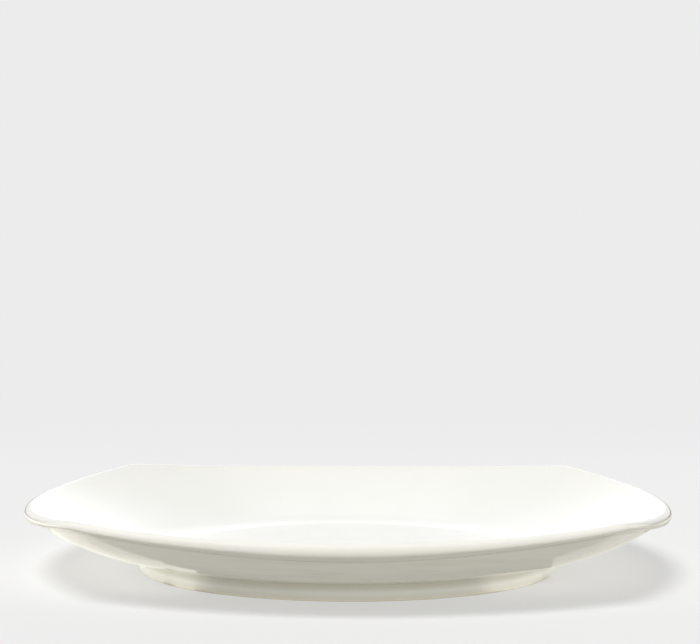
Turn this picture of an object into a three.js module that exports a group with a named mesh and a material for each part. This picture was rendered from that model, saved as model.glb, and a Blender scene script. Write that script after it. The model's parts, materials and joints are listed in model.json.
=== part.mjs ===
// A square plate of glazed porcelain: a round well inside a bowed square rim, on a round foot ring.
// Millimetres, +Z up, origin on the table under the middle of the plate.
import * as THREE from 'three';

const { degToRad, lerp } = THREE.MathUtils;

// Plan outline: four shallow side arcs that meet in small round corners
const plateWidth = 254;
const sideArcRadius = 182.5;
const cornerRadius = 12;

// Face: a flat round well that curves up into a sloping rim, a little less steep at the corners
const recessDepth = 3.5;
const floorThickness = 4.1;
const wellFloorRadius = 68;
const wellCurveRadius = 44;
const rimAngleMidSide = degToRad(22.4);
const rimAngleAtCorners = degToRad(20.9);

// Lip: rolled over, much heavier at the middle of each side than at the corners
const lipCrownRadiusMidSide = 2.4;
const lipCrownRadiusAtCorners = 1.9;
const lipUnderRadiusMidSide = 4.2;
const lipUnderRadiusAtCorners = 1.2;
const lipRoll = degToRad(115);
const lipCreaseRadius = 1;

// Underside: a dished curve, steeper at the lip than at the foot
const undersideAngleAtLip = degToRad(39);
const undersideAngleAtFoot = degToRad(10);

// Foot ring: glazed down to a bare edge that stands on the table
const footOuterRadius = 82.8;
const footInnerRadius = 76.5;
const footHeight = 6.8;
const footFilletRadius = 1.8;
const footDraft = degToRad(3);
const footEdgeRadius = 0.8;
const bareFootHeight = 0.9;
const recessFilletRadius = 1.5;

// Glaze: a thin coat of even thickness, with a hairline kept free between it and the body
const glazeThickness = 0.35;
const glazeClearance = 0.1;

// Most of a wall's height or width that a round edge may take up
const edgeShare = 0.9;

// How finely curves are divided
const stepsPerSide = 14;
const stepsPerCorner = 4;
const wellCurveSteps = 4;
const lipSteps = 4;
const creaseSteps = 2;
const undersideSteps = 4;
const filletSteps = 2;

const quarterTurn = Math.PI / 2;
const bodyInset = glazeThickness + glazeClearance;
const wellFloorHeight = recessDepth + floorThickness;

// The side arcs are centred beyond the middle of the plate, the corner arcs on its diagonals
const halfWidth = plateWidth / 2;
const sideArcOffset = sideArcRadius - halfWidth;
const cornerReach = sideArcRadius - cornerRadius;
const cornerCentre = (Math.sqrt(2 * cornerReach ** 2 - sideArcOffset ** 2) - sideArcOffset) / 2;
const arcEnd = Math.atan2(cornerCentre, cornerCentre + sideArcOffset);
const cornerStart = Math.atan2(
  sideArcRadius * Math.sin(arcEnd),
  sideArcRadius * Math.cos(arcEnd) - sideArcOffset,
);

// Distance from the middle to a circle round (x, y), along the direction of an angle
function reachToCircle(x, y, radius, angle) {
  const along = x * Math.cos(angle) + y * Math.sin(angle);
  return along + Math.sqrt(along ** 2 - x ** 2 - y ** 2 + radius ** 2);
}

// Distance from the middle of the plate to its outline at an angle
function planRadius(angle) {
  const fromSide = Math.abs(angle - quarterTurn * Math.round(angle / quarterTurn));
  if (fromSide <= cornerStart) {
    return reachToCircle(-sideArcOffset, 0, sideArcRadius, fromSide);
  }
  return reachToCircle(cornerCentre, cornerCentre, cornerRadius, fromSide);
}

// The angles that the sections stand at, closer together round the corners
function sectionAngles() {
  const angles = [];
  for (let side = 0; side < 4; side += 1) {
    const middle = side * quarterTurn;
    for (let i = 0; i < stepsPerSide; i += 1) {
      angles.push(middle + lerp(-cornerStart, cornerStart, i / stepsPerSide));
    }
    for (let i = 0; i < stepsPerCorner; i += 1) {
      angles.push(middle + lerp(cornerStart, quarterTurn - cornerStart, i / stepsPerCorner));
    }
  }
  return angles;
}

// A section is a run of points (distance from the axis, height), each with its outward direction
function surfacePoint(r, z, outAngle) {
  return {
    at: new THREE.Vector2(r, z),
    out: new THREE.Vector2(Math.cos(outAngle), Math.sin(outAngle)),
  };
}

// Points on a round bend: a convex one faces away from its centre, a hollow one towards it
function bend(centre, radius, fromAngle, toAngle, steps, hollow = false) {
  const points = [];
  for (let i = 0; i <= steps; i += 1) {
    const angle = lerp(fromAngle, toAngle, i / steps);
    const r = centre.x + radius * Math.cos(angle);
    const z = centre.y + radius * Math.sin(angle);
    points.push(surfacePoint(r, z, hollow ? angle + Math.PI : angle));
  }
  return points;
}

function polar(angle, length) {
  return new THREE.Vector2(Math.cos(angle), Math.sin(angle)).multiplyScalar(length);
}

// The dished stretch between two points whose slopes are given, both ends left out
function dish(from, fromSlope, to, toSlope) {
  const handle = from.distanceTo(to) / 3;
  const curve = new THREE.CubicBezierCurve(
    from,
    from.clone().sub(polar(fromSlope, handle)),
    to.clone().add(polar(toSlope, handle)),
    to,
  );
  const points = [];
  for (let i = 1; i < undersideSteps; i += 1) {
    const at = curve.getPoint(i / undersideSteps);
    const along = curve.getTangent(i / undersideSteps);
    points.push(surfacePoint(at.x, at.y, along.angle() + quarterTurn));
  }
  return points;
}

// Outer surface at one angle: from the middle of the well, over the lip and under to the foot
function outerSection(angle) {
  const reach = planRadius(angle);
  const cornerShare = Math.sin(2 * angle) ** 2;
  const rimAngle = lerp(rimAngleMidSide, rimAngleAtCorners, cornerShare);
  const lipCrownRadius = lerp(lipCrownRadiusMidSide, lipCrownRadiusAtCorners, cornerShare);
  const lipUnderRadius = lerp(lipUnderRadiusMidSide, lipUnderRadiusAtCorners, cornerShare);

  const wellMiddle = surfacePoint(0, wellFloorHeight, quarterTurn);
  const wellCurveCentre = new THREE.Vector2(wellFloorRadius, wellFloorHeight + wellCurveRadius);
  const wellCurve = bend(
    wellCurveCentre, wellCurveRadius, -quarterTurn, rimAngle - quarterTurn, wellCurveSteps, true,
  );

  // The crown is tangent to the straight rim, and the under side of the lip carries on from it
  const rimStart = wellCurve.at(-1).at;
  const crownReach = reach - lipCrownRadius;
  const rimHeight = rimStart.y + (crownReach - rimStart.x) * Math.tan(rimAngle);
  const lipHeight = rimHeight - lipCrownRadius / Math.cos(rimAngle);
  const crownCentre = new THREE.Vector2(crownReach, lipHeight);
  const crown = bend(crownCentre, lipCrownRadius, quarterTurn + rimAngle, 0, lipSteps);
  const underCentre = new THREE.Vector2(reach - lipUnderRadius, lipHeight);
  const under = bend(underCentre, lipUnderRadius, 0, -lipRoll, lipSteps).slice(1);

  // The crease turns the roll of the lip back into the underside
  const creaseCentre = underCentre.clone().add(polar(-lipRoll, lipUnderRadius + lipCreaseRadius));
  const crease = bend(
    creaseCentre, lipCreaseRadius, Math.PI - lipRoll, quarterTurn + undersideAngleAtLip, creaseSteps, true,
  ).slice(1);

  const filletRadius = Math.min(footFilletRadius, (footHeight - bareFootHeight) * edgeShare);
  const filletCentre = new THREE.Vector2(footOuterRadius + filletRadius, footHeight - filletRadius);
  const footFillet = bend(
    filletCentre, filletRadius, quarterTurn + undersideAngleAtFoot, Math.PI - footDraft, filletSteps, true,
  );
  const underside = dish(
    crease.at(-1).at, undersideAngleAtLip, footFillet[0].at, undersideAngleAtFoot,
  );

  const wallTop = footFillet.at(-1).at;
  const wallFoot = wallTop.x - (wallTop.y - bareFootHeight) * Math.tan(footDraft);
  const glazeEnd = surfacePoint(wallFoot, bareFootHeight, -footDraft);
  return [
    wellMiddle, ...wellCurve, ...crown, ...under, ...crease, ...underside, ...footFillet, glazeEnd,
  ];
}

// Base surface, the same at every angle: from the inside of the foot ring to the middle
function baseSection() {
  const fillet = Math.min(recessFilletRadius, (recessDepth - bareFootHeight) * edgeShare);
  const filletCentre = new THREE.Vector2(footInnerRadius - fillet, recessDepth - fillet);
  return [
    surfacePoint(footInnerRadius, bareFootHeight, Math.PI),
    ...bend(filletCentre, fillet, 0, quarterTurn, filletSteps, true),
    surfacePoint(0, recessDepth, -quarterTurn),
  ];
}

// Bare foot: rounded edges either side of the flat ring that stands on the table
function footSection(outerRadius, innerRadius) {
  const halfRing = (outerRadius - innerRadius) / 2;
  const edge = Math.min(footEdgeRadius, bareFootHeight * edgeShare, halfRing * edgeShare);
  const outerCentre = new THREE.Vector2(outerRadius - edge, edge);
  const innerCentre = new THREE.Vector2(innerRadius + edge, edge);
  return [
    ...bend(outerCentre, edge, 0, -quarterTurn, filletSteps),
    ...bend(innerCentre, edge, -quarterTurn, -Math.PI, filletSteps),
  ];
}

// A surface set inwards by a distance along its own outward directions
function setIn(section, distance) {
  return section.map(({ at, out }) => at.clone().addScaledVector(out, -distance));
}

function bodyProfile(angle) {
  const outer = setIn(outerSection(angle), bodyInset);
  const base = setIn(baseSection(), bodyInset);
  return [...outer, ...setIn(footSection(outer.at(-1).x, base[0].x), 0), ...base];
}

function coatProfile(section) {
  return [...setIn(section, 0), ...setIn(section, glazeThickness).reverse()];
}

const outerGlazeProfile = (angle) => coatProfile(outerSection(angle));
const baseGlazeProfile = () => coatProfile(baseSection().reverse()).reverse();

// Joins the profiles at all angles into one closed skin; each starts and ends on the axis.
// A patch is cut along its shorter diagonal, so that the skins of body and glaze run alongside.
function loftRoundAxis(profileAt) {
  const angles = sectionAngles();
  const profiles = angles.map(profileAt);
  const ringCount = profiles[0].length - 2;
  const points = [new THREE.Vector3(0, 0, profiles[0][0].y)];
  for (let ring = 1; ring <= ringCount; ring += 1) {
    profiles.forEach((profile, i) => {
      const { x: r, y: z } = profile[ring];
      points.push(new THREE.Vector3(r * Math.cos(angles[i]), r * Math.sin(angles[i]), z));
    });
  }
  points.push(new THREE.Vector3(0, 0, profiles[0].at(-1).y));

  const lastPole = points.length - 1;
  const vertex = (ring, i) => 1 + ring * angles.length + (i % angles.length);
  const span = (a, b) => points[a].distanceTo(points[b]);
  const triangles = [];
  for (let i = 0; i < angles.length; i += 1) {
    triangles.push(0, vertex(0, i), vertex(0, i + 1));
    for (let ring = 0; ring < ringCount - 1; ring += 1) {
      const here = vertex(ring, i);
      const out = vertex(ring + 1, i);
      const outNext = vertex(ring + 1, i + 1);
      const next = vertex(ring, i + 1);
      if (span(here, outNext) < span(out, next)) {
        triangles.push(here, out, outNext, here, outNext, next);
      } else {
        triangles.push(here, out, next, out, outNext, next);
      }
    }
    triangles.push(vertex(ringCount - 1, i), lastPole, vertex(ringCount - 1, i + 1));
  }

  const geometry = new THREE.BufferGeometry().setFromPoints(points);
  geometry.setIndex(triangles);
  geometry.computeVertexNormals();
  return geometry;
}

function subPart(name, profileAt, material) {
  const mesh = new THREE.Mesh(loftRoundAxis(profileAt), material);
  mesh.name = name;
  return mesh;
}

const barePorcelain = new THREE.MeshStandardMaterial({ color: '#e6e1d3', roughness: 0.75, metalness: 0 });
const whiteGlaze = new THREE.MeshStandardMaterial({ color: '#f6f6f1', roughness: 0.1, metalness: 0 });

const squarePlate = new THREE.Group();
squarePlate.add(
  subPart('plate_body', bodyProfile, barePorcelain),
  subPart('outer_glaze', outerGlazeProfile, whiteGlaze.clone()),
  subPart('base_glaze', baseGlazeProfile, whiteGlaze.clone()),
);

export default squarePlate;
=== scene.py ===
import json
import math

import bpy
from mathutils import Matrix, Vector, kdtree


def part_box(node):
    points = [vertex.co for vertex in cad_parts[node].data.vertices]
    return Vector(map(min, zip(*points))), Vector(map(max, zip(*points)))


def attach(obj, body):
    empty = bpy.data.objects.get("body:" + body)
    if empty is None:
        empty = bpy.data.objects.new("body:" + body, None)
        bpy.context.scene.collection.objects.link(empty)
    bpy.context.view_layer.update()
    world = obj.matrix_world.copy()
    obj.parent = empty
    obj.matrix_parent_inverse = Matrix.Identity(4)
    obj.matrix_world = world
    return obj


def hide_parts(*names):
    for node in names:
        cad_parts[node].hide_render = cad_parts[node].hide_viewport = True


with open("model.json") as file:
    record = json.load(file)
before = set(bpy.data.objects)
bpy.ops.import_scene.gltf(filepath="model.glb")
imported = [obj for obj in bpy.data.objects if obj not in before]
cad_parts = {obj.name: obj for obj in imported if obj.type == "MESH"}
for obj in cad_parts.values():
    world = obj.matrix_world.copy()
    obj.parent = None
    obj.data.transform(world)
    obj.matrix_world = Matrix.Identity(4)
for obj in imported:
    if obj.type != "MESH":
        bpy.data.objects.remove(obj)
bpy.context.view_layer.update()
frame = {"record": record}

# Sizes in metres, angles in radians: read from the frame where it has them, or repeated from the part
mounts = {mount["name"]: mount["pos_m"] for mount in frame["record"]["mounts"]}
half_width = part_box("outer_glaze")[1].x
bare_foot_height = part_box("outer_glaze")[0].z
recess_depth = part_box("base_glaze")[1].z
well_floor_height = mounts["well_floor"][2]

side_arc_radius = 0.1825
corner_radius = 0.012
well_floor_radius = 0.068
well_curve_radius = 0.044
rim_angle_mid_side = math.radians(22.4)
rim_angle_at_corners = math.radians(20.9)
lip_crown_radius_mid_side = 0.0024
lip_crown_radius_at_corners = 0.0019
lip_under_radius_mid_side = 0.0042
lip_under_radius_at_corners = 0.0012
lip_roll = math.radians(115)
lip_crease_radius = 0.001
underside_angle_at_lip = math.radians(39)
underside_angle_at_foot = math.radians(10)
foot_outer_radius = 0.0828
foot_inner_radius = 0.0765
foot_height = 0.0068
foot_fillet_radius = 0.0018
foot_draft = math.radians(3)
foot_edge_radius = 0.0008
recess_fillet_radius = 0.0015
glaze_thickness = 0.00035
body_inset = 0.00045

# How the glaze has run, which also carries painted shade: above 0 where it collected in a hollow, and there
# it also paints the shade in the lip's crease, under the lip, in the foot's crease and in the base's
# recess; below 0 where it drew thinner on an edge, and there it also paints shade on the lip's shoulder and
# crown
run_even = 0.0
# Painted shade on the lip: a duller cream on its shoulder, crown and edge, partly thinned glaze
thin_glaze_and_shade_on_shoulder = -0.5
thin_glaze_and_shade_on_crown = -0.6
thin_glaze_and_shade_on_edge = -1.0
# Painted shade: an olive grey in the lip's crease, under the lip, in the foot's crease and in the base's
# recess, partly collected glaze
pooled_glaze_and_shade_in_lip_crease = 1.25
pooled_glaze_and_shade_in_foot_fillet = 0.85
pooled_glaze_and_shade_in_recess_fillet = 1.0
shoulder_band_width = 0.002

# How finely the sections and their bends are divided, and how the mesh is welded and smoothed
sections_per_half_side = 18
sections_per_corner = 12
well_curve_steps = 12
lip_steps = 10
crease_steps = 6
underside_steps = 16
fillet_steps = 6
weld_distance = glaze_thickness / 50
smooth_angle = math.radians(40)

# Studio: the backdrop's tone, the floor's size and drop below the foot, the height of the cards on it
backdrop_tone = "#ececec"
floor_size = 40
floor_drop = 0.0001
card_lift = 0.0002

quarter_turn = math.pi / 2

# The side arcs are centred beyond the middle of the plate, the corner arcs on its diagonals
side_arc_offset = side_arc_radius - half_width
corner_reach = side_arc_radius - corner_radius
corner_centre = (math.sqrt(2 * corner_reach ** 2 - side_arc_offset ** 2) - side_arc_offset) / 2
arc_end = math.atan2(corner_centre, corner_centre + side_arc_offset)
corner_start = math.atan2(
    side_arc_radius * math.sin(arc_end),
    side_arc_radius * math.cos(arc_end) - side_arc_offset,
)


def mix(a, b, share):
    return a + (b - a) * share


def toward(angle):
    return Vector((math.cos(angle), math.sin(angle)))


def reach_to_circle(x, y, radius, angle):
    """Distance from the middle to a circle round (x, y), along the direction of an angle"""
    along = x * math.cos(angle) + y * math.sin(angle)
    return along + math.sqrt(along ** 2 - x ** 2 - y ** 2 + radius ** 2)


def plan_radius(angle):
    """Distance from the middle of the plate to its bowed square outline"""
    from_side = abs(angle - quarter_turn * round(angle / quarter_turn))
    if from_side <= corner_start:
        return reach_to_circle(-side_arc_offset, 0, side_arc_radius, from_side)
    return reach_to_circle(corner_centre, corner_centre, corner_radius, from_side)


def section_angles():
    """The angles of the sections all round, from the middle of one side, close together at the corners"""
    stretches = (
        (0, corner_start, sections_per_half_side),
        (corner_start, quarter_turn - corner_start, sections_per_corner),
        (quarter_turn - corner_start, quarter_turn, sections_per_half_side),
    )
    return [
        side * quarter_turn + mix(start, stop, i / steps)
        for side in range(4)
        for start, stop, steps in stretches
        for i in range(steps)
    ]


# A section is a run of points (distance from the axis, height), each with its outward direction
# and with how the glaze has run there, which also carries painted shade
def bend(centre, radius, start, stop, steps, hollow=False, glaze_run_and_shade=(run_even, run_even)):
    points = []
    for i in range(steps + 1):
        out = toward(mix(start, stop, i / steps))
        points.append((centre + radius * out, -out if hollow else out, mix(*glaze_run_and_shade, i / steps)))
    return points


def dish(start, start_slope, end, end_slope, steps):
    """The dished stretch between two points whose slopes are given, both ends left out"""
    handle = (end - start).length / 3
    near, far = start - handle * toward(start_slope), end + handle * toward(end_slope)
    points = []
    for i in range(1, steps):
        share = i / steps
        middle = near.lerp(far, share)
        before = start.lerp(near, share).lerp(middle, share)
        after = middle.lerp(far.lerp(end, share), share)
        along = (after - before).normalized()
        points.append((before.lerp(after, share), Vector((-along.y, along.x)), run_even))
    return points


def outer_section(angle):
    """Outer surface at one angle: from the middle of the well, over the lip and under to the foot"""
    reach = plan_radius(angle)
    corner_share = math.sin(2 * angle) ** 2
    rim_angle = mix(rim_angle_mid_side, rim_angle_at_corners, corner_share)
    crown_radius = mix(lip_crown_radius_mid_side, lip_crown_radius_at_corners, corner_share)
    under_radius = mix(lip_under_radius_mid_side, lip_under_radius_at_corners, corner_share)

    well_middle = (Vector((0, well_floor_height)), toward(quarter_turn), run_even)
    well_curve_centre = Vector((well_floor_radius, well_floor_height + well_curve_radius))
    well_curve = bend(
        well_curve_centre, well_curve_radius, -quarter_turn, rim_angle - quarter_turn,
        well_curve_steps, hollow=True,
    )

    rim_start = well_curve[-1][0]
    crown_reach = reach - crown_radius
    rim_height = rim_start.y + (crown_reach - rim_start.x) * math.tan(rim_angle)
    lip_height = rim_height - crown_radius / math.cos(rim_angle)
    crown_centre = Vector((crown_reach, lip_height))
    # Painted shade on the lip's shoulder and crown: a duller cream that grows toward the edge
    crown = bend(
        crown_centre, crown_radius, quarter_turn + rim_angle, 0,
        lip_steps, glaze_run_and_shade=(thin_glaze_and_shade_on_crown, thin_glaze_and_shade_on_edge),
    )
    crown_start, crown_out, _ = crown[0]
    shoulder = (crown_start - shoulder_band_width * toward(rim_angle), crown_out, thin_glaze_and_shade_on_shoulder)
    under_centre = Vector((reach - under_radius, lip_height))
    # Painted shade under the lip: an olive grey that grows toward the crease
    under = bend(
        under_centre, under_radius, 0, -lip_roll,
        lip_steps, glaze_run_and_shade=(thin_glaze_and_shade_on_edge, pooled_glaze_and_shade_in_lip_crease),
    )[1:]
    crease_centre = under_centre + (under_radius + lip_crease_radius) * toward(-lip_roll)
    crease = bend(
        crease_centre, lip_crease_radius, math.pi - lip_roll, quarter_turn + underside_angle_at_lip,
        crease_steps, hollow=True, glaze_run_and_shade=(pooled_glaze_and_shade_in_lip_crease, pooled_glaze_and_shade_in_lip_crease),
    )[1:]

    fillet_centre = Vector((foot_outer_radius + foot_fillet_radius, foot_height - foot_fillet_radius))
    # Painted shade: an olive grey in the crease between the underside and the foot
    foot_fillet = bend(
        fillet_centre, foot_fillet_radius, quarter_turn + underside_angle_at_foot, math.pi - foot_draft,
        fillet_steps, hollow=True, glaze_run_and_shade=(pooled_glaze_and_shade_in_foot_fillet, pooled_glaze_and_shade_in_foot_fillet),
    )
    underside = dish(
        crease[-1][0], underside_angle_at_lip, foot_fillet[0][0], underside_angle_at_foot, underside_steps,
    )
    wall_top = foot_fillet[-1][0]
    wall_foot = wall_top.x - (wall_top.y - bare_foot_height) * math.tan(foot_draft)
    glaze_end = (Vector((wall_foot, bare_foot_height)), toward(-foot_draft), thin_glaze_and_shade_on_edge)
    return [
        well_middle, *well_curve, shoulder, *crown, *under, *crease, *underside, *foot_fillet, glaze_end,
    ]


def base_section():
    """Base surface, the same at every angle: from the inside of the foot ring to the middle"""
    centre = Vector((foot_inner_radius - recess_fillet_radius, recess_depth - recess_fillet_radius))
    # Painted shade: an olive grey in the fillet of the base's recess
    recess_fillet = bend(
        centre, recess_fillet_radius, 0, quarter_turn,
        fillet_steps, hollow=True, glaze_run_and_shade=(pooled_glaze_and_shade_in_recess_fillet, pooled_glaze_and_shade_in_recess_fillet),
    )
    return [
        (Vector((foot_inner_radius, bare_foot_height)), toward(math.pi), thin_glaze_and_shade_on_edge),
        *recess_fillet,
        (Vector((0, recess_depth)), toward(-quarter_turn), run_even),
    ]


def foot_section(outer_radius, inner_radius):
    """Bare foot: rounded edges either side of the flat ring that stands on the table"""
    edge = foot_edge_radius
    return [
        *bend(Vector((outer_radius - edge, edge)), edge, 0, -quarter_turn, fillet_steps),
        *bend(Vector((inner_radius + edge, edge)), edge, -quarter_turn, -math.pi, fillet_steps),
    ]


def set_in(section, distance):
    """A surface set inwards along its own outward directions"""
    return [(at - distance * out, out, glaze_run_and_shade) for at, out, glaze_run_and_shade in section]


def outer_glaze_profile(angle):
    outer = outer_section(angle)
    return outer + set_in(outer, glaze_thickness)[::-1]


def base_glaze_profile(_):
    base = base_section()
    return base[::-1] + set_in(base, glaze_thickness)


def body_profile(angle):
    outer = set_in(outer_section(angle), body_inset)
    base = set_in(base_section(), body_inset)
    return [*outer, *foot_section(outer[-1][0].x, base[0][0].x), *base]


def throw_piece(name, profile_at, material):
    """Draws the profile at mid-side, spins it as on a wheel, then pulls it out to the bowed square"""
    angles = section_angles()
    profiles = [profile_at(angle) for angle in angles]
    drawn = [at for at, out, glaze_run_and_shade in profiles[0]]

    bpy.ops.object.select_all(action="DESELECT")
    bpy.ops.mesh.primitive_plane_add(size=well_floor_radius)
    piece = bpy.context.object
    piece.name = piece.data.name = name
    bpy.ops.object.mode_set(mode="EDIT")
    bpy.ops.mesh.select_all(action="SELECT")
    bpy.ops.mesh.merge(type="CENTER")
    bpy.ops.transform.translate(value=(drawn[0].x, 0, drawn[0].y))
    for here, there in zip(drawn, drawn[1:]):
        step = there - here
        bpy.ops.mesh.extrude_vertices_move(TRANSFORM_OT_translate={"value": (step.x, 0, step.y)})
    bpy.ops.mesh.select_all(action="SELECT")
    bpy.ops.mesh.spin(steps=len(angles), angle=2 * math.pi, center=(0, 0, 0), axis=(0, 0, 1))
    bpy.ops.mesh.select_all(action="SELECT")
    bpy.ops.mesh.remove_doubles(threshold=weld_distance)
    bpy.ops.mesh.normals_make_consistent(inside=False)
    bpy.ops.object.mode_set(mode="OBJECT")

    # Each spun point finds the ring of the drawn profile and the section that it came from
    rings = kdtree.KDTree(len(drawn))
    for ring, at in enumerate(drawn):
        rings.insert((at.x, at.y, 0), ring)
    rings.balance()
    # Each point gets its glaze run value, which also paints shade, and how far it faces down
    run = piece.data.attributes.new("glaze_run_and_shade", "FLOAT", "POINT")
    underside = piece.data.attributes.new("underside", "FLOAT", "POINT")
    for vertex in piece.data.vertices:
        x, y, z = vertex.co
        ring = rings.find((math.hypot(x, y), z, 0))[1]
        section = round(math.atan2(y, x) / (2 * math.pi) * len(angles)) % len(angles)
        at, out, glaze_run_and_shade = profiles[section][ring]
        vertex.co = (at.x * math.cos(angles[section]), at.x * math.sin(angles[section]), at.y)
        run.data[vertex.index].value = glaze_run_and_shade
        underside.data[vertex.index].value = max(0.0, -out.y)
    bpy.ops.object.shade_smooth_by_angle(angle=smooth_angle)
    piece.data.materials.append(material)
    return piece


def linear(colour):
    """An sRGB hex colour as the linear values that shaders take"""
    values = [int(colour[i:i + 2], 16) / 255 for i in (1, 3, 5)]
    return (*(v / 12.92 if v <= 0.04045 else ((v + 0.055) / 1.055) ** 2.4 for v in values), 1.0)


def add_node(tree, kind, sockets=None, **settings):
    node = tree.nodes.new(kind)
    for name, value in settings.items():
        setattr(node, name, value)
    for name, value in (sockets or {}).items():
        if isinstance(value, bpy.types.NodeSocket):
            tree.links.new(value, node.inputs[name])
        else:
            node.inputs[name].default_value = value
    return node


def new_material(name):
    material = bpy.data.materials.new(name)
    material.use_nodes = True
    material.node_tree.nodes.clear()
    return material, material.node_tree


def glazed_porcelain():
    """Clear glaze fired on white porcelain: milky warm white and glossy, with a slow waviness and a finer
    ripple that bend reflections. An olive grey marks where it collected in hollows and also paints shade in
    the lip's crease, under the lip, in the foot's crease and in the base's recess; a duller cream marks
    where it drew thinner on edges and also paints shade on the lip's shoulder and crown. On the underside,
    faint streaks from the turning of the wheel show through it, and a few small iron specks"""
    flow_mm, flow_depth = 14, 0.00006
    ripple_mm, ripple_depth = 1.6, 0.000002
    cloud_mm, cloud_start, cloud_end = 30, 0.35, 0.65
    pooled_glaze_and_shade_strength, thin_glaze_and_shade_strength = 0.8, 0.6
    streak_mm, streaks_per_turn = 2.5, 24
    streak_start, streak_end, streak_strength = 0.5, 0.75, 0.35
    speck_spacing_mm, speck_mm, speck_strength = 9, 0.5, 0.5
    speck_edge = speck_mm / 2 / speck_spacing_mm
    speck_core = speck_edge / 2
    least_rough, most_rough = 0.05, 0.1
    refraction = 1.5
    material, tree = new_material("glazed_porcelain")
    place = add_node(tree, "ShaderNodeTexCoord").outputs["Object"]
    clouds = add_node(tree, "ShaderNodeTexNoise", {"Vector": place, "Scale": 1000 / cloud_mm, "Detail": 3})
    white = add_node(tree, "ShaderNodeValToRGB", {"Fac": clouds.outputs["Fac"]})
    white.color_ramp.elements[0].position = cloud_start
    white.color_ramp.elements[0].color = linear("#f3f3ef")
    white.color_ramp.elements[1].position = cloud_end
    white.color_ramp.elements[1].color = linear("#f5f5f1")
    run = add_node(tree, "ShaderNodeAttribute", attribute_name="glaze_run_and_shade").outputs["Fac"]
    # Painted shade: an olive grey, partly glaze collected in hollows, partly shade in the creases, under
    # the lip and in the recess
    pooled_glaze_and_shade_share = add_node(
        tree, "ShaderNodeMath", {0: run, 1: pooled_glaze_and_shade_strength}, operation="MULTIPLY", use_clamp=True,
    )
    # Painted shade: a duller cream, partly glaze thinned on edges, partly shade on the lip's shoulder and
    # crown
    thin_glaze_and_shade_share = add_node(
        tree, "ShaderNodeMath", {0: run, 1: -thin_glaze_and_shade_strength}, operation="MULTIPLY", use_clamp=True,
    )
    pooled_glaze_and_shade = add_node(
        tree, "ShaderNodeMix",
        {"Factor": pooled_glaze_and_shade_share.outputs[0], "A": white.outputs["Color"], "B": linear("#cbc9bd")},
        data_type="RGBA",
    )
    glaze_and_shade_colour = add_node(
        tree, "ShaderNodeMix",
        {"Factor": thin_glaze_and_shade_share.outputs[0], "A": pooled_glaze_and_shade.outputs["Result"], "B": linear("#dbd9cf")},
        data_type="RGBA",
    )
    below = add_node(tree, "ShaderNodeAttribute", attribute_name="underside").outputs["Fac"]
    flat = add_node(tree, "ShaderNodeVectorMath", {0: place, 1: (1, 1, 0)}, operation="MULTIPLY")
    out = add_node(tree, "ShaderNodeVectorMath", {0: flat.outputs[0]}, operation="LENGTH")
    round_it = add_node(tree, "ShaderNodeVectorMath", {0: flat.outputs[0]}, operation="NORMALIZE")
    rings = add_node(
        tree, "ShaderNodeMath", {0: out.outputs["Value"], 1: 1000 / streak_mm}, operation="MULTIPLY",
    )
    ring_place = add_node(tree, "ShaderNodeCombineXYZ", {"Z": rings.outputs[0]})
    along_ring = add_node(
        tree, "ShaderNodeVectorMath",
        {0: round_it.outputs[0], 1: (streaks_per_turn / math.tau,) * 3, 2: ring_place.outputs[0]},
        operation="MULTIPLY_ADD",
    )
    turning = add_node(
        tree, "ShaderNodeTexNoise", {"Vector": along_ring.outputs[0], "Scale": 1, "Detail": 3},
    )
    streaks = add_node(
        tree, "ShaderNodeMapRange",
        {
            "Value": turning.outputs["Fac"], "From Min": streak_start, "From Max": streak_end,
            "To Min": 0.0, "To Max": streak_strength,
        },
    )
    marked = add_node(tree, "ShaderNodeMath", {0: streaks.outputs[0], 1: below}, operation="MULTIPLY")
    turned = add_node(
        tree, "ShaderNodeMix",
        {"Factor": marked.outputs[0], "A": glaze_and_shade_colour.outputs["Result"], "B": linear("#d2cfc3")},
        data_type="RGBA",
    )
    cells = add_node(tree, "ShaderNodeTexVoronoi", {"Vector": place, "Scale": 1000 / speck_spacing_mm})
    spots = add_node(
        tree, "ShaderNodeMapRange",
        {
            "Value": cells.outputs["Distance"], "From Min": speck_core, "From Max": speck_edge,
            "To Min": speck_strength, "To Max": 0.0,
        },
    )
    iron = add_node(tree, "ShaderNodeMath", {0: spots.outputs[0], 1: below}, operation="MULTIPLY")
    specked = add_node(
        tree, "ShaderNodeMix",
        {"Factor": iron.outputs[0], "A": turned.outputs["Result"], "B": linear("#8f8672")},
        data_type="RGBA",
    )
    flow = add_node(tree, "ShaderNodeTexNoise", {"Vector": place, "Scale": 1000 / flow_mm, "Detail": 2})
    ripple = add_node(tree, "ShaderNodeTexNoise", {"Vector": place, "Scale": 1000 / ripple_mm, "Detail": 1})
    wavy = add_node(tree, "ShaderNodeBump", {"Height": flow.outputs["Fac"], "Distance": flow_depth})
    skin = add_node(
        tree, "ShaderNodeBump",
        {"Height": ripple.outputs["Fac"], "Distance": ripple_depth, "Normal": wavy.outputs[0]},
    )
    gloss = add_node(
        tree, "ShaderNodeMapRange",
        {"Value": clouds.outputs["Fac"], "To Min": least_rough, "To Max": most_rough},
    )
    shader = add_node(
        tree, "ShaderNodeBsdfPrincipled",
        {
            "Base Color": specked.outputs["Result"],
            "Roughness": gloss.outputs[0],
            "IOR": refraction,
            "Normal": skin.outputs[0],
        },
    )
    add_node(tree, "ShaderNodeOutputMaterial", {"Surface": shader.outputs[0]})
    return material


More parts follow.
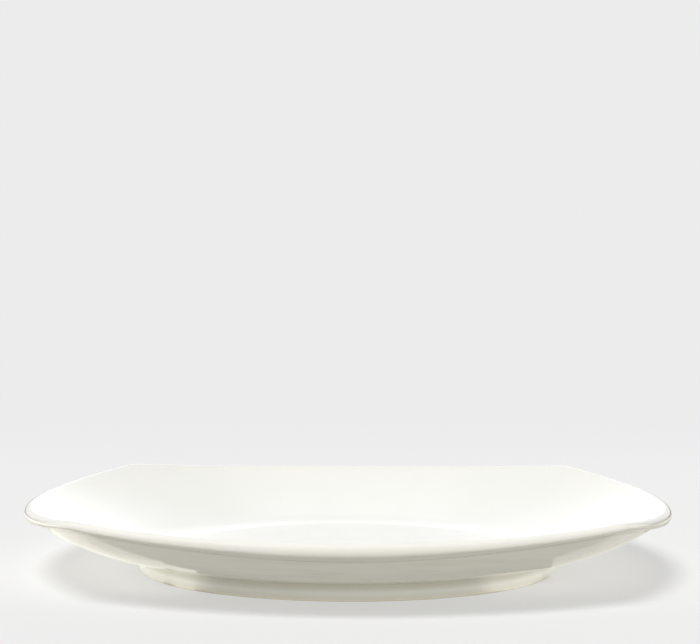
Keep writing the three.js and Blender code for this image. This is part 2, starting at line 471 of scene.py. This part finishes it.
def unglazed_porcelain():
    """Porcelain fired bare on the foot: matt warm cream, with a fine grit and a few grey kiln specks"""
    # Real grit is finer, about 0.2 mm: it is drawn coarser so that it shows
    grit_mm, grit_depth = 0.5, 0.00004
    speck_spacing_mm, speck_core_mm, speck_edge_mm, speck_strength = 2.5, 0.125, 0.4, 0.5
    cloud_mm, cloud_start, cloud_end = 12, 0.3, 0.7
    roughness, refraction = 0.75, 1.5
    material, tree = new_material("unglazed_porcelain")
    place = add_node(tree, "ShaderNodeTexCoord").outputs["Object"]
    clouds = add_node(tree, "ShaderNodeTexNoise", {"Vector": place, "Scale": 1000 / cloud_mm, "Detail": 4})
    cream = add_node(tree, "ShaderNodeValToRGB", {"Fac": clouds.outputs["Fac"]})
    cream.color_ramp.elements[0].position = cloud_start
    cream.color_ramp.elements[0].color = linear("#e2ddd0")
    cream.color_ramp.elements[1].position = cloud_end
    cream.color_ramp.elements[1].color = linear("#eae6da")
    cells = add_node(tree, "ShaderNodeTexVoronoi", {"Vector": place, "Scale": 1000 / speck_spacing_mm})
    specks = add_node(
        tree, "ShaderNodeMapRange",
        {
            "Value": cells.outputs["Distance"],
            "From Min": speck_core_mm / speck_spacing_mm, "From Max": speck_edge_mm / speck_spacing_mm,
            "To Min": speck_strength, "To Max": 0.0,
        },
    )
    flecked = add_node(
        tree, "ShaderNodeMix",
        {"Factor": specks.outputs[0], "A": cream.outputs["Color"], "B": linear("#a49b88")},
        data_type="RGBA",
    )
    grit = add_node(tree, "ShaderNodeTexNoise", {"Vector": place, "Scale": 1000 / grit_mm, "Detail": 2})
    rough = add_node(tree, "ShaderNodeBump", {"Height": grit.outputs["Fac"], "Distance": grit_depth})
    shader = add_node(
        tree, "ShaderNodeBsdfPrincipled",
        {
            "Base Color": flecked.outputs["Result"],
            "Roughness": roughness,
            "IOR": refraction,
            "Normal": rough.outputs[0],
        },
    )
    add_node(tree, "ShaderNodeOutputMaterial", {"Surface": shader.outputs[0]})
    return material


def floor_paint():
    """Matt pale studio floor: seen light grey with an even glow in it, fading into the backdrop. It throws
    back a soft warm light from a darker matt grey and gives off a painted warm glow, more of it onto what
    touches it, and it is clear from below"""
    seen_lift = 0.46
    fade_start, fade_end = 0.3, 0.8
    touching_distance, clear_distance = 0.0005, 0.003
    touching_glow, clear_glow = 0.35, 0.045
    material, tree = new_material("floor_paint")
    seen = add_node(tree, "ShaderNodeBsdfDiffuse", {"Color": linear("#a5a5a5")})
    lift = add_node(tree, "ShaderNodeEmission", {"Color": linear("#ffffff"), "Strength": seen_lift})
    pale = add_node(tree, "ShaderNodeAddShader", {0: seen.outputs[0], 1: lift.outputs[0]})
    place = add_node(tree, "ShaderNodeTexCoord").outputs["Object"]
    away = add_node(tree, "ShaderNodeVectorMath", {0: place}, operation="LENGTH")
    fade = add_node(
        tree, "ShaderNodeMapRange",
        {"Value": away.outputs["Value"], "From Min": fade_start, "From Max": fade_end},
        interpolation_type="SMOOTHSTEP",
    )
    far = add_node(tree, "ShaderNodeEmission", {"Color": linear(backdrop_tone)})
    sweep = add_node(
        tree, "ShaderNodeMixShader", {0: fade.outputs[0], 1: pale.outputs[0], 2: far.outputs[0]},
    )
    matt = add_node(tree, "ShaderNodeBsdfDiffuse", {"Color": linear("#84827b")})
    ray = add_node(tree, "ShaderNodeLightPath")
    # Painted light: the floor glows warm onto the plate, most within a few millimetres of what touches it
    strength = add_node(
        tree, "ShaderNodeMapRange",
        {
            "Value": ray.outputs["Ray Length"], "From Min": touching_distance, "From Max": clear_distance,
            "To Min": touching_glow, "To Max": clear_glow,
        },
    )
    warm = add_node(
        tree, "ShaderNodeEmission", {"Color": linear("#fffbec"), "Strength": strength.outputs[0]},
    )
    bounce_and_glow = add_node(tree, "ShaderNodeAddShader", {0: matt.outputs[0], 1: warm.outputs[0]})
    paint = add_node(
        tree, "ShaderNodeMixShader",
        {0: ray.outputs["Is Camera Ray"], 1: bounce_and_glow.outputs[0], 2: sweep.outputs[0]},
    )
    side = add_node(tree, "ShaderNodeNewGeometry")
    clear = add_node(tree, "ShaderNodeBsdfTransparent")
    one_sided = add_node(
        tree, "ShaderNodeMixShader",
        {0: side.outputs["Backfacing"], 1: paint.outputs[0], 2: clear.outputs[0]},
    )
    add_node(tree, "ShaderNodeOutputMaterial", {"Surface": one_sided.outputs[0]})
    return material


# Plate
glaze = glazed_porcelain()

body = throw_piece("porcelain_body", body_profile, unglazed_porcelain())
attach(body, "root")
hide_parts("plate_body")

outer_coat = throw_piece("outer_glaze_coat", outer_glaze_profile, glaze)
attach(outer_coat, "root")
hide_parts("outer_glaze")

base_coat = throw_piece("base_glaze_coat", base_glaze_profile, glaze)
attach(base_coat, "root")
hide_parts("base_glaze")

# Floor
bpy.ops.object.select_all(action="DESELECT")
bpy.ops.mesh.primitive_plane_add(size=floor_size, location=(0, 0, -floor_drop))
floor = bpy.context.object
floor.name = "studio_floor"
floor.data.materials.append(floor_paint())

# Light: a soft key from the front left that is not mirrored, soft boxes low at the front and sides, and
# light cards lying face up on the floor in front of, under and beside the plate, mostly for the glaze to
# mirror. The camera sees none of them
key_from = Vector((-0.2, -0.54, 0.82))
key_strength = 2.75
key_spread = math.radians(25)
key = bpy.data.lights.new("soft_key", "SUN")
key.energy = key_strength
key.angle = key_spread
key_object = bpy.data.objects.new("soft_key", key)
key_object.rotation_euler = key_from.to_track_quat("Z", "Y").to_euler()
key_object.visible_glossy = False
bpy.context.scene.collection.objects.link(key_object)

lamp_tone = "#fffdf4"
face_up = (180, 0)
soft_boxes = (
    # name, place, turn about X and Z in degrees, width and height, power, lights matt surfaces, is mirrored
    ("soft_box_front", (0.4, -0.9, 0.06), (90, 0), (1.6, 0.11), 2.4, True, True),
    ("soft_box_left", (-0.7, 0.15, 0.16), (85, -101), (0.7, 0.3), 0.5, True, True),
    ("soft_box_right", (0.7, 0.15, 0.16), (85, 101), (0.7, 0.3), 0.8, True, True),
    ("light_card_front", (0, -0.39, card_lift), face_up, (0.5, 0.5), 1.3, False, True),
    ("light_card_under", (0, 0, card_lift), face_up, (0.26, 0.26), 0.06, True, True),
    ("light_card_left", (-0.235, 0.1045, card_lift), face_up, (0.33, 0.351), 0.192, True, True),
    ("light_card_right", (0.1895, 0.1055, card_lift), face_up, (0.221, 0.349), 0.0765, True, True),
    ("light_card_foot_left", (-0.0635, -0.059, card_lift), face_up, (0.013, 0.018), 0.00039, True, True),
    ("light_card_foot_right", (0.0677, -0.0555, card_lift), (180, 51), (0.04, 0.012), 0.0007, True, False),
    ("light_card_left_end", (-0.3, 0.0, card_lift), face_up, (0.24, 0.36), 0.4, True, True),
    ("light_card_right_end", (0.3, -0.02, card_lift), face_up, (0.24, 0.4), 0.2, True, True),
)
for name, place, (turn_x, turn_z), (width, height), power, lights_matt, mirrored in soft_boxes:
    box = bpy.data.lights.new(name, "AREA")
    box.shape = "RECTANGLE"
    box.size, box.size_y = width, height
    box.energy = power
    box.color = linear(lamp_tone)[:3]
    box_object = bpy.data.objects.new(name, box)
    box_object.location = place
    box_object.rotation_euler = (math.radians(turn_x), 0, math.radians(turn_z))
    box_object.visible_camera = False
    box_object.visible_diffuse = lights_matt
    box_object.visible_glossy = mirrored
    bpy.context.scene.collection.objects.link(box_object)

# Room: dim in front and paler behind, with a bright low panel at the back and dimmer flanks beside it.
# Its limits are parts of a direction: upwards, sideways and backwards. The camera sees a plain backdrop
front_glow, high_glow, low_panel_glow, flank_share = 0.14, 0.25, 1.2, 0.4
panel_top_start, panel_top_end = 0.25, 0.65
panel_side_start, panel_side_end = 0.11, 0.18
flank_side_start, flank_side_end = 0.35, 0.7
back_start, back_end = -0.5, 0.35
world = bpy.data.worlds.new("studio_room")
world.use_nodes = True
sky = world.node_tree
sky.nodes.clear()
aim = add_node(sky, "ShaderNodeSeparateXYZ", {0: add_node(sky, "ShaderNodeTexCoord").outputs["Generated"]})
low = add_node(
    sky, "ShaderNodeMapRange",
    {
        "Value": aim.outputs["Z"], "From Min": panel_top_start, "From Max": panel_top_end,
        "To Min": low_panel_glow, "To Max": 0.0,
    },
)
sideways = add_node(sky, "ShaderNodeMath", {0: aim.outputs["X"]}, operation="ABSOLUTE")
middle = add_node(
    sky, "ShaderNodeMapRange",
    {
        "Value": sideways.outputs[0], "From Min": panel_side_start, "From Max": panel_side_end,
        "To Min": 1.0, "To Max": flank_share,
    },
)
flanks = add_node(
    sky, "ShaderNodeMapRange",
    {
        "Value": sideways.outputs[0], "From Min": flank_side_start, "From Max": flank_side_end,
        "To Min": 1.0, "To Max": 0.0,
    },
)
panels = add_node(sky, "ShaderNodeMath", {0: middle.outputs[0], 1: flanks.outputs[0]}, operation="MULTIPLY")
behind = add_node(
    sky, "ShaderNodeMapRange", {"Value": aim.outputs["Y"], "From Min": back_start, "From Max": back_end},
)
pale_back = add_node(
    sky, "ShaderNodeMath",
    {0: low.outputs[0], 1: panels.outputs[0], 2: high_glow}, operation="MULTIPLY_ADD",
)
glow = add_node(
    sky, "ShaderNodeMath",
    {0: behind.outputs[0], 1: pale_back.outputs[0], 2: front_glow}, operation="MULTIPLY_ADD",
)
lit = add_node(sky, "ShaderNodeBackground", {"Color": linear("#ffffff"), "Strength": glow.outputs[0]})
seen = add_node(sky, "ShaderNodeBackground", {"Color": linear(backdrop_tone)})
ray = add_node(sky, "ShaderNodeLightPath")
room = add_node(
    sky, "ShaderNodeMixShader",
    {0: ray.outputs["Is Camera Ray"], 1: lit.outputs[0], 2: seen.outputs[0]},
)
add_node(sky, "ShaderNodeOutputWorld", {"Surface": room.outputs[0]})
bpy.context.scene.world = world
bpy.context.scene.view_settings.view_transform = "Standard"

# Camera: stands in front of the middle of one side, aimed so that the plate's origin falls on its pixel
picture_width, picture_height = 700, 644
origin_pixel_x, origin_pixel_y = 348.57, 566.44
focal_pixels = 1984.3
camera_distance = 0.8
camera_elevation = math.radians(8.89)
camera_roll = math.radians(0.18)
camera_back = camera_distance * math.cos(camera_elevation)
camera_height = camera_distance * math.sin(camera_elevation)
pitch = camera_elevation - math.atan((origin_pixel_y - picture_height / 2) / focal_pixels)
yaw = math.atan((origin_pixel_x - picture_width / 2) / focal_pixels)
lens = bpy.data.cameras.new("camera")
lens.sensor_fit = "HORIZONTAL"
lens.lens = lens.sensor_width * focal_pixels / picture_width
camera = bpy.data.objects.new("camera", lens)
camera.matrix_world = (
    Matrix.Translation((0, -camera_back, camera_height))
    @ Matrix.Rotation(yaw, 4, "Z")
    @ Matrix.Rotation(quarter_turn - pitch, 4, "X")
    @ Matrix.Rotation(camera_roll, 4, "Z")
)
bpy.context.scene.collection.objects.link(camera)
bpy.context.scene.camera = camera
